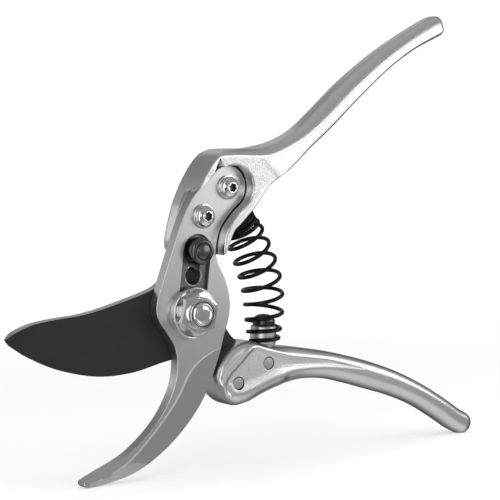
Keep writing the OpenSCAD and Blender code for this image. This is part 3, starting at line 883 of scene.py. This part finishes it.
HOLLOW = [((13.4, -12.2), (15, -11.6)), ((8.6, -13.6), (12, -14.5)), ((4.5, -15.5), (11, -18.2)),
          ((0.7, -18.3), (9.3, -21.8)), ((-2.2, -22.1), (7, -26.2)), ((-4.6, -26.4), (3.9, -31)),
          ((-9, -32.2), (-1.4, -37.4)), ((-16, -39.5), (-9, -43.8)), ((-24.2, -46.5), (-20, -50.2)),
          ((-31, -50), (-29, -52.7))]
HOLLOW_DEPTHS = [0.05, 0.3, 0.6, 0.8, 0.9, 0.9, 0.9, 0.8, 0.6, 0.3]
TIP_SCOOP = [((-14.6, -45.6), (-11.6, -47.6)), ((-17.4, -45.4), (-16.4, -50)),
             ((-21.6, -46.2), (-21, -51.4)), ((-26.4, -48), (-26, -52.6)),
             ((-33, -50.4), (-33, -53.6)), ((-39, -52), (-40, -54.6))]
TIP_DEPTHS = [0.5, 1, 1.1, 1.2, 1.3, 1.4]


def toward(p, q, amount):
    gap = Vector(q) - Vector(p)
    return tuple(Vector(p) + gap.normalized() * amount)


# A narrow facet runs along the hollow's start; its bright tone is a painted highlight
RIDGE_DEPTH = 0.045
HOLLOW_RIDGE = [(toward(p, q, -0.3), toward(p, q, 0.2)) for p, q in HOLLOW]


def anvil_hook(satin, hollow, ridge, dark):
    obj = plate("counter_blade", hook_outline(), HOOK_FRONT, HOOK_BACK, 0.32, [satin])
    floor = HOOK_FRONT + CHANNEL_DEPTH
    channel = catch_slot(0, CATCH_R + 0.1, CHANNEL_WIDTH)
    through = catch_slot(KEYHOLE_R, CATCH_R, NECK_SLOT)
    # The facet along the hollow's start takes the painted highlight material.
    tools = [wedge(HOLLOW_RIDGE, [RIDGE_DEPTH] * len(HOLLOW_RIDGE), HOOK_FRONT, -1, [ridge]),
             wedge(HOLLOW, HOLLOW_DEPTHS, HOOK_FRONT, -1, [hollow]),
             wedge(TIP_SCOOP, TIP_DEPTHS, HOOK_FRONT, -1, [satin]),
             cutter(channel, HOOK_FRONT, floor, 0.2, dark),
             cutter(through, floor, HOOK_BACK, 0.12, dark, flare_back=True)]
    front, back = HOOK_FRONT - 3, HOOK_BACK + 3
    tools += holes([on_catch(KEYHOLE_R)], KEYHOLE_D, floor, HOOK_BACK, 0.25, satin, True)
    tools += holes([(0, 0)], PIVOT_BORE, front, back, 0, satin)
    tools += holes(SCREW_PLACES, SCREW_BORE, front, back, 0, satin)
    carved(obj, tools)
    return seated(shaded(obj, 24), "fixed_arm", "hook_steel", "anvil_hook")


CUTTING_BEVEL = [((-2, -10.5), (-2, -15.6)), ((-9, -10.9), (-9.4, -16.5)),
                 ((-20, -12.9), (-20.5, -18.7)), ((-32.4, -13), (-33.4, -18.8)),
                 ((-45.2, -10.2), (-47.3, -15.6)), ((-55.6, -5.9), (-58.4, -10.7)),
                 ((-62.8, -2.6), (-65.4, -6.2)), ((-66.4, 0.4), (-68, -3))]


def cutting_blade(coat, bare):
    outline = blade_outline()
    spine_end = len(smooth(BLADE_SPINE, 5)) - 1
    obj = plate("coated_blade", outline, BLADE_FRONT, BLADE_BACK, 0.14, [coat, bare],
                slots=lambda r, k: 1 if k < spine_end else 0, steps=2)
    front, back = BLADE_FRONT - 3, BLADE_BACK + 3
    tools = [wedge(CUTTING_BEVEL, [2.7] * len(CUTTING_BEVEL), BLADE_BACK, 1, [bare]),
             cutter(round_hole((0, 0), BLADE_BORE), front, back, 0, bare),
             seat_tool(LOWER_SEAT, LOWER_SEAT_DIR, [coat])]
    hollows = [on_catch(CATCH_R - CATCH_TRAVEL, turn) for turn in (0, -CLOSING_ANGLE)]
    tools += holes(hollows, FOOT_HOLLOW_D, front, back, 0, bare)
    tools += holes(RIVET_PLACES, RIVET_BORE, front, back, 0, coat)
    carved(obj, tools)
    return seated(shaded(obj, 24), "moving_arm", "blade_coat", "cutting_blade")


# ---- fasteners ----


class Growth(Recipe):
    """A geometry tree with named inputs."""

    def __init__(self, name):
        super().__init__(bpy.data.node_groups.new(name, "GeometryNodeTree"))
        self.tree.interface.new_socket("Geometry", in_out="INPUT",
                                       socket_type="NodeSocketGeometry")
        self.tree.interface.new_socket("Geometry", in_out="OUTPUT",
                                       socket_type="NodeSocketGeometry")
        self.inputs = {}
        self.entry = self.tree.nodes.new("NodeGroupInput")

    def ask(self, name, kind, value):
        """A named input of the tree, with the value this object gives it."""
        socket = self.tree.interface.new_socket(name, in_out="INPUT",
                                                socket_type=f"NodeSocket{kind}")
        self.inputs[socket.identifier] = value
        return Value(self, self.entry.outputs[name])

    def start(self):
        return Value(self, self.entry.outputs["Geometry"])

    def grow(self, obj, geometry, material):
        """Ends the tree, runs it on obj and leaves a plain mesh."""
        finish = self.ask("Finish", "Material", material)
        real = self.node("GeometryNodeRealizeInstances", {}, (geometry,))
        undressed = self.node("GeometryNodeInputMaterialIndex").math("LESS_THAN", 0.5)
        dressed = self.node("GeometryNodeSetMaterial", {},
                            {"Geometry": real, "Selection": undressed, "Material": finish})
        self.node("NodeGroupOutput", {}, (dressed,))
        mod = obj.modifiers.new(self.tree.name, "NODES")
        mod.node_group = self.tree
        for identifier, value in self.inputs.items():
            mod[identifier] = value
        return baked(obj)


def repeated(name, pattern, places, turns, material):
    """Copies of a pattern piece at places along the pivot direction, each with its turn."""
    holder = piece(name, [(x, 0, z) for x, z in places], [])
    spin = holder.data.attributes.new("spin", "FLOAT", "POINT")
    spin.data.foreach_set("value", [math.radians(t) for t in turns])
    g = Growth(name + "_places")
    source = g.node("GeometryNodeObjectInfo", {"transform_space": "ORIGINAL"},
                    (g.ask("Pattern", "Object", pattern),), out="Geometry")
    angle = g.node("GeometryNodeInputNamedAttribute", {"data_type": "FLOAT"}, ("spin",))
    turn = g.node("ShaderNodeCombineXYZ", {}, (0.0, angle, 0.0))
    points = g.node("GeometryNodeMeshToPoints", {}, (g.start(),))
    copies = g.node("GeometryNodeInstanceOnPoints", {},
                    {"Points": points, "Instance": source, "Rotation": turn})
    g.grow(holder, copies, material)
    bpy.data.objects.remove(pattern)
    return holder


def star(radius, lobe, steps=96):
    angles = np.linspace(0, 2 * math.pi, steps, endpoint=False)
    r = radius + lobe * np.cos(6 * angles)
    return np.stack([r * np.cos(angles), r * np.sin(angles)], 1)


def anvil_screws(bright, dark):
    seat, top, r = WASHER_FRONT, WASHER_FRONT - 2.3, 3.6
    dome = [(r - 0.15 - 1.5 * t ** 2.2, seat - 0.75 - 1.4 * t) for t in np.linspace(0, 1, 8)]
    profile = [(0, seat + 9), (2.1, seat + 9), (2.5, seat + 8.5), (2.5, seat), (r, seat),
               (r, seat - 0.55), (r - 0.12, seat - 0.62)] + dome + [(1.85, top), (0, top)]
    screw = turned("screw", eased(profile, 0.12, 2), materials=[bright])
    # The socket's faces take the dark steel: painted shade inside the socket.
    carved(screw, [cutter(star(1.32, 0.16), top, top + 1.5, 0.12, dark)])
    obj = repeated("anvil_button_screws", shaded(screw, 30), SCREW_PLACES, (12, 38), bright)
    return seated(obj, "fixed_arm", "bright_steel", "anvil_screws")


def anvil_washers(bright):
    ring = eased([(2.52, HOOK_FRONT), (4.05, HOOK_FRONT), (4.05, WASHER_FRONT),
                  (2.52, WASHER_FRONT), (2.52, HOOK_FRONT)], 0.14, 3)[1:-1]
    pattern = shaded(turned("washer", ring, materials=[bright]))
    obj = repeated("anvil_flat_washers", pattern, SCREW_PLACES, (0, 0), bright)
    return seated(obj, "fixed_arm", "bright_steel", "anvil_washers")


def blade_rivets(face):
    low, high, r = CHEEK_FRONT + PANEL_SINK - 0.04, RIVET_BACK - 0.05, 1.98
    shank = turned("rivet", eased([(0, high), (r, high), (r, low), (0, low)], 0.3, 3),
                   materials=[face])
    obj = repeated("blade_rivet_pair", shaded(shank), RIVET_PLACES, (0, 50), face)
    return seated(obj, "moving_arm", "rivet_steel", "blade_rivets")


def hexagon(across_flats, turn):
    r = across_flats / 2 / math.cos(math.pi / 6)
    angles = np.radians(turn) + np.arange(6) * math.pi / 3
    return np.stack([r * np.cos(angles), r * np.sin(angles)], 1)


def hex_body(name, across_flats, front, back, turn, materials, chamfers):
    """A hexagonal prism whose corners are turned down at front and back."""
    r = across_flats / 2
    corner = r / math.cos(math.pi / 6)
    body = stacked(name, [flat_ring(hexagon(across_flats, turn), y) for y in (front, back)],
                   materials)
    low, high = chamfers
    shell = [(0, back), (r - 0.15, back), (corner + 0.1, back - high),
             (corner + 0.1, front + low), (r - 0.35, front), (0, front)]
    return carved(body, [turned("shell", shell, materials=materials, sides=128)], "INTERSECT")


NUT_TURN = 18
NUT_COLLAR_R = 5.2
NUT_HEX_H = 4.1


def pivot_nut(bright, gap):
    hex_front = NUT_BACK - NUT_HEX_H
    obj = hex_body("lock_nut", ACROSS_FLATS, hex_front, NUT_BACK, NUT_TURN, [bright, gap], (0.3, 0.45))
    collar = eased([(3.9, hex_front + 1), (NUT_COLLAR_R, hex_front + 1),
                    (NUT_COLLAR_R, hex_front + 0.1), (NUT_COLLAR_R - 0.35, hex_front - 0.25),
                    (NUT_COLLAR_R - 0.1, NUT_FRONT + 0.4), (NUT_COLLAR_R - 0.4, NUT_FRONT),
                    (NUT_COLLAR_R - 0.85, NUT_FRONT + 0.12), (NUT_COLLAR_R - 0.95, NUT_FRONT + 1),
                    (3.9, NUT_FRONT + 1), (3.9, hex_front + 1)], 0.1, 3)[1:-1]
    carved(obj, [turned("collar", collar, materials=[bright])], "UNION")
    groove = [(NUT_COLLAR_R - 0.72, NUT_FRONT - 1), (NUT_COLLAR_R - 0.5, NUT_FRONT - 1),
              (NUT_COLLAR_R - 0.5, NUT_FRONT + 0.3), (NUT_COLLAR_R - 0.72, NUT_FRONT + 0.3)]
    # The groove's faces take the painted groove shade.
    carved(obj, [turned("groove", groove, materials=[gap])])
    bore = round_hole((0, 0), PIVOT_BORE, 96)
    carved(obj, [cutter(bore, NUT_FRONT - 3, NUT_BACK + 3, 0, bright)])
    return seated(shaded(obj, 28), "fixed_arm", "bright_steel", "pivot_nut")


def pivot_bolt(bright):
    r = BOLT_R
    obj = hex_body("pivot_bolt_body", ACROSS_FLATS, -BOLT_HEAD_H, 0, 0, [bright], (0.02, 0.8))
    shank = eased([(0, -3), (r, -3), (r, BOLT_TIP + 0.6), (r - 0.5, BOLT_TIP),
                   (r - 1.0, BOLT_TIP), (r - 1.25, BOLT_TIP + 0.35)], 0.14, 3)
    cap = [(2.7 * math.cos(a), BOLT_TIP + 0.42 - 0.2 * math.sin(a))
           for a in np.linspace(0.1, math.pi / 2, 8)]
    carved(obj, [turned("shank", list(shank) + cap, materials=[bright])], "UNION")
    return seated(shaded(obj, 28), "fixed_arm", "bright_steel", "pivot_bolt")


def pivot_washer(bright):
    r, bore = 8.5, PIVOT_BORE / 2
    seat = NUT_BACK
    profile = eased([(bore, HOOK_FRONT), (r - 0.25, HOOK_FRONT), (r, HOOK_FRONT - 0.35),
                     (r, DISH_FRONT + 0.3), (r - 0.2, DISH_FRONT), (r - 0.42, DISH_FRONT),
                     (r - 0.56, DISH_FRONT + 0.06), (6.8, seat), (bore, seat),
                     (bore, HOOK_FRONT)], 0.12, 3)[1:-1]
    obj = shaded(turned("dished_washer", profile, materials=[bright], sides=128), 28)
    return seated(obj, "fixed_arm", "bright_steel", "pivot_washer")


def rear_washer(bright):
    r, bore = 8, PIVOT_BORE / 2
    profile = eased([(bore, REAR_WASHER_BACK), (r, REAR_WASHER_BACK), (r, REAR_WASHER_FRONT),
                     (bore, REAR_WASHER_FRONT), (bore, REAR_WASHER_BACK)], 0.2, 3)[1:-1]
    obj = shaded(turned("rear_flat_washer", profile, materials=[bright], sides=128))
    return seated(obj, "fixed_arm", "bright_steel", "rear_washer")


# ---- spring and pegs ----


def spring_peg(name, node, body, aim, height, bore, alloy):
    profile = eased([(0, -3.8), (2.5, -3.8), (2.5, 0.02), (PEG_R, 0.02), (PEG_R, height - 0.5),
                     (PEG_R - 0.6, height), (bore, height), (bore, height - 2),
                     (0, height - 2)], 0.35, 3)
    obj = shaded(turned(name, profile, materials=[alloy], aim=aim))
    return seated(obj, body, "peg_alloy", node)


def stop_bumper(rubber):
    top, rise, wall, r = 6.4, 3.8, 1.3, PEG_R - 0.6
    dome = [(r * math.cos(a) ** 0.85, top + wall + (rise - wall) * math.sin(a))
            for a in np.linspace(0, math.pi / 2, 14)]
    dome[-1] = (0, dome[-1][1])
    profile = [(0, top - 1.9), (1.95, top - 1.9), (1.95, top + 0.02), (r - 0.3, top + 0.02),
               (r - 0.05, top + 0.2)] + dome
    obj = shaded(turned("rubber_bumper", profile, materials=[rubber],
                        aim=(LOWER_SEAT, LOWER_SEAT_DIR)))
    return seated(obj, "moving_arm", "rubber_black", "stop_bumper")


TURNS_TOP, TURNS_MID, TURNS_LOW = 3.4, 6.1, 1.5
COIL_END_R = 5.3
COIL_BELLY = 1.5
CLOSE_PITCH = 1.512
LOW_PITCH = 3.08


def return_spring(enamel):
    line = smooth(SPRING_LINE, 12)
    length = float(np.sum(np.linalg.norm(np.diff(line, axis=0), axis=1)))
    mid_run = length - TURNS_TOP * CLOSE_PITCH - TURNS_LOW * LOW_PITCH - 2 * WIRE_R
    turns = TURNS_TOP + TURNS_MID + TURNS_LOW
    steps = 56
    count = round(turns * steps)
    axis = bpy.data.meshes.new("spring_axis")
    axis.from_pydata([Vector((x, MID_Y, z)) * MM for x, z in line],
                     [(i, i + 1) for i in range(len(line) - 1)], [])
    obj = bpy.data.objects.new("return_coil", axis)
    bpy.context.scene.collection.objects.link(obj)
    g = Growth("coil_on_axis")
    wire = g.ask("Wire Radius", "Float", WIRE_R * MM)
    end_r = g.ask("End Radius", "Float", COIL_END_R * MM)
    belly = g.ask("Belly", "Float", COIL_BELLY * MM)
    index = g.node("GeometryNodeInputIndex")
    turn = index * (turns / count)
    along = ((turn.clamped(0, TURNS_TOP)) * CLOSE_PITCH
             + (turn - TURNS_TOP).clamped(0, TURNS_MID) * (mid_run / TURNS_MID)
             + (turn - TURNS_TOP - TURNS_MID).clamped(0, TURNS_LOW) * LOW_PITCH) * MM + wire
    share = ((turn - 2) / (turns - 3)).clamped(0.0001, 0.9999)
    radius = (share * math.pi).math("SINE") ** 0.7 * belly + end_r
    path = g.node("GeometryNodeMeshToCurve", {}, (g.start(),))
    sample = g.tree.nodes.new("GeometryNodeSampleCurve")
    sample.mode = "LENGTH"
    sample.use_all_curves = True
    g.tree.links.new(path.socket, sample.inputs["Curves"])
    g.tree.links.new(along.socket, sample.inputs["Length"])
    tangent = g.node("ShaderNodeSeparateXYZ", {}, (Value(g, sample.outputs["Tangent"]),))
    tangent_z = Value(g, tangent.socket.node.outputs[2])
    angle = turn * (2 * math.pi)
    swing = angle.math("COSINE") * radius
    offset = g.node("ShaderNodeCombineXYZ", {}, (tangent_z * swing, angle.math("SINE") * radius,
                                                 tangent * swing * -1))
    place = g.node("ShaderNodeVectorMath", {"operation": "ADD"},
                   (Value(g, sample.outputs["Position"]), offset))
    blank = g.node("GeometryNodeMeshLine", {}, {"Count": count + 1})
    helix = g.node("GeometryNodeSetPosition", {}, {"Geometry": blank, "Position": place})
    centre = g.node("GeometryNodeMeshToCurve", {}, (helix,))
    section = g.node("GeometryNodeCurvePrimitiveCircle", {}, {"Resolution": 12, "Radius": wire})
    tube = g.node("GeometryNodeCurveToMesh", {}, {
        "Curve": centre, "Profile Curve": section, "Fill Caps": True})
    shade = g.node("GeometryNodeSetShadeSmooth", {}, {"Geometry": tube})
    g.grow(obj, shade, enamel)
    obj = shaded(obj, 60, weld=0.001)
    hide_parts("return_spring")
    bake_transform(obj)
    return obj


# ---- thumb catch ----


def catch_button(black):
    r, front, back = 4.45, BUTTON_FRONT, BUTTON_BACK
    bore = 2.22
    dome = [(2.55 * math.cos(a), front + 0.62 - 0.6 * math.sin(a))
            for a in np.linspace(0.15, math.pi / 2, 10)]
    dome[-1] = (0, dome[-1][1])
    profile = eased([(bore, back), (r, back), (r, front + 1.8), (r - 0.15, front + 1.25),
                     (r - 0.5, front + 0.8), (r - 0.95, front + 0.55),
                     (r - 1.3, front + 0.5), (r - 1.45, front + 1.0),
                     (r - 1.7, front + 1.0), (2.6, front + 0.62)], 0.16, 3)
    tail = [(0, back - 2.4), (bore, back - 2.4), (bore, back)]
    points = [(r0, y) for r0, y in profile] + dome
    obj = turned("thumb_button", points + tail, place=on_catch(CATCH_R), materials=[black])
    return seated(shaded(obj, 34), "catch", "catch_black", "catch_button")


def dress(node, material):
    """Gives a carried-over CAD node its finish."""
    obj = NODES[node]
    obj.data.materials.clear()
    obj.data.materials.append(material)


# ---- studio ----

CAMERA_PLACE = (-336.476, -508.396, 69.877)
CAMERA_TURN = math.radians(36)
CAMERA_DROP = math.radians(4.7115)
CAMERA_LENS = 132.54


def studio_camera():
    data = bpy.data.cameras.new("studio_camera")
    data.lens, data.sensor_width = CAMERA_LENS, 36
    data.clip_start, data.clip_end = 0.01, 50
    camera = bpy.data.objects.new("studio_camera", data)
    bpy.context.scene.collection.objects.link(camera)
    camera.location = Vector(CAMERA_PLACE) * MM
    camera.rotation_euler = (math.pi / 2 - CAMERA_DROP, 0, -CAMERA_TURN)
    bpy.context.scene.camera = camera


def softbox(name, place, target, width, height, power):
    data = bpy.data.lights.new(name, "AREA")
    data.shape = "RECTANGLE"
    data.size, data.size_y, data.energy = width, height, power
    light = bpy.data.objects.new(name, data)
    bpy.context.scene.collection.objects.link(light)
    light.location = place
    aim = Vector(target) - Vector(place)
    light.rotation_euler = aim.to_track_quat("-Z", "Y").to_euler()
    return light


def studio_lights():
    """A panel beside the tool, a tall strip on the left and a wide panel overhead. Places are
    in metres."""
    softbox("side_panel", (0.233, -0.168, 0.066), (-0.015, 0.0, 0.066), 0.235, 0.135, 0.18)
    softbox("left_strip", (-0.42, -0.3, 0.05), (0, 0, 0.02), 0.2, 0.85, 0.75)
    top = softbox("top_panel", (-0.1, 0.0, 0.8), (0.02, 0, 0), 0.7, 0.7, 1.6)
    top.visible_glossy = False


# Soft bright and dark cards of the light tent: direction, inner and outer angle, level
TENT_CARDS = [((0.588, 0.809, 0.05), 5, 22, 0.12),
              ((-0.57, 0.81, 0.17), 4, 13, 0.8),
              ((-0.1, 0.81, 0.58), 6, 24, -0.13),
              ((0.34, 0.81, 0.48), 3, 16, 0.2),
              ((0.8, 0.45, 0.4), 6, 26, -0.25),
              ((-0.5, -0.85, 0.1), 10, 35, -0.2),
              ((-0.57, -0.81, 0.17), 9, 19, 1.0),
              ((0.05, -1, 0.1), 4, 17, 0.5),
              ((0.98, 0.14, -0.08), 8, 26, -0.24),
              ((0.3, -0.5, -0.8), 10, 42, 0.42),
              ((0.4, 0.76, -0.6), 10, 35, -0.2),
              ((0.88, 0.0, -0.47), 5, 24, -0.3),
              ((0, 0, 1), 10, 35, 0.05)]


def studio_world():
    """A soft light tent: pale ahead and overhead, greyer behind and below."""
    world = bpy.data.worlds.new("light_tent")
    bpy.context.scene.world = world
    world.use_nodes = True
    w = Recipe(world.node_tree)
    w.tree.nodes.clear()
    direction = w.node("ShaderNodeTexCoord", out="Generated")
    parts = w.node("ShaderNodeSeparateXYZ", {}, (direction,)).socket.node
    x, y, z = (Value(w, parts.outputs[k]) for k in range(3))

    def card(toward, inner, outer, level):
        """A soft bright or dark card centred on a direction."""
        d = Vector(toward).normalized()
        facing = x * d.x + y * d.y + z * d.z
        share = w.node("ShaderNodeMapRange", {"interpolation_type": "SMOOTHSTEP"}, (
            facing, math.cos(math.radians(outer)), math.cos(math.radians(inner)), 0.0, 1.0))
        return share * level

    tent = z * 0.05 + 0.3
    for toward, inner, outer, level in TENT_CARDS:
        tent = tent + card(toward, inner, outer, level)
    tent = tent.clamped(0.03, 2)
    light = w.node("ShaderNodeBackground", {}, (w.node("ShaderNodeCombineColor", {},
                                                       (tent, tent, tent)), 1.0))
    white = w.node("ShaderNodeBackground", {}, ((1, 1, 1, 1), 1.05))
    seen = w.node("ShaderNodeLightPath", out="Is Camera Ray")
    both = w.node("ShaderNodeMixShader", {}, (seen, light, white))
    w.node("ShaderNodeOutputWorld", {}, {"Surface": both})


def studio_floor():
    low = cad_box[0][2]
    size = 6.0
    mesh = bpy.data.meshes.new("studio_floor")
    mesh.from_pydata([(-size, -size, low), (size, -size, low), (size, size, low),
                      (-size, size, low)], [], [(0, 1, 2, 3)])
    floor = bpy.data.objects.new("studio_floor", mesh)
    bpy.context.scene.collection.objects.link(floor)
    f = Finish("white_paper")
    cloud = f.noise(40, 2)
    # The floor glows, dimmest near the tool and brightest far off: painted light that keeps the far
    # floor white while the lamps' shadows show near the tool.
    away = f.node("ShaderNodeVectorMath", {"operation": "LENGTH"}, (f.place,), out="Value")
    painted_floor_glow = f.node("ShaderNodeMapRange", {"interpolation_type": "SMOOTHSTEP"},
                  (away, 0.12, 0.9, 0.46, 0.85))
    shade = f.grey(cloud * 0.01 + 0.9)
    mesh.materials.append(f.surface(shade, cloud * 0.05 + 0.8, Emission_Strength=1.0,
                                    Emission_Color=f.grey(painted_floor_glow)))
    floor.visible_glossy = False


def build():
    alloy, milled = blasted_alloy(), machined_alloy()
    bright, dark = polished_steel(), dark_steel()
    bare = bare_edge_steel()
    cast = peg_alloy()
    groove_shade = gap_shadow()
    upper_handle(alloy, milled)
    lower_handle(alloy, milled)
    anvil_hook(ground_steel(), bevel_steel(), honed_line(), dark)
    cutting_blade(black_coat(), bare)
    anvil_screws(bright, dark)
    anvil_washers(bright)
    blade_rivets(rivet_face())
    pivot_nut(bright, groove_shade)
    pivot_bolt(bright)
    pivot_washer(bright)
    rear_washer(bright)
    spring_peg("upper_peg", "upper_spring_peg", "fixed_arm", (UPPER_SEAT, UPPER_SEAT_DIR), 5.8,
               1.5, cast)
    spring_peg("lower_peg", "lower_spring_peg", "moving_arm", (LOWER_SEAT, LOWER_SEAT_DIR), 6.4,
               2, cast)
    stop_bumper(moulded_rubber())
    return_spring(spring_enamel())
    catch_button(anodised_black())
    dress("nut_insert", nylon_ring())
    dress("catch_slider", dark)
    dress("catch_screw", bright)
    dress("catch_spring_washer", bright)


build()
studio_camera()
studio_world()
studio_floor()
studio_lights()
bpy.context.scene.view_settings.view_transform = "Standard"
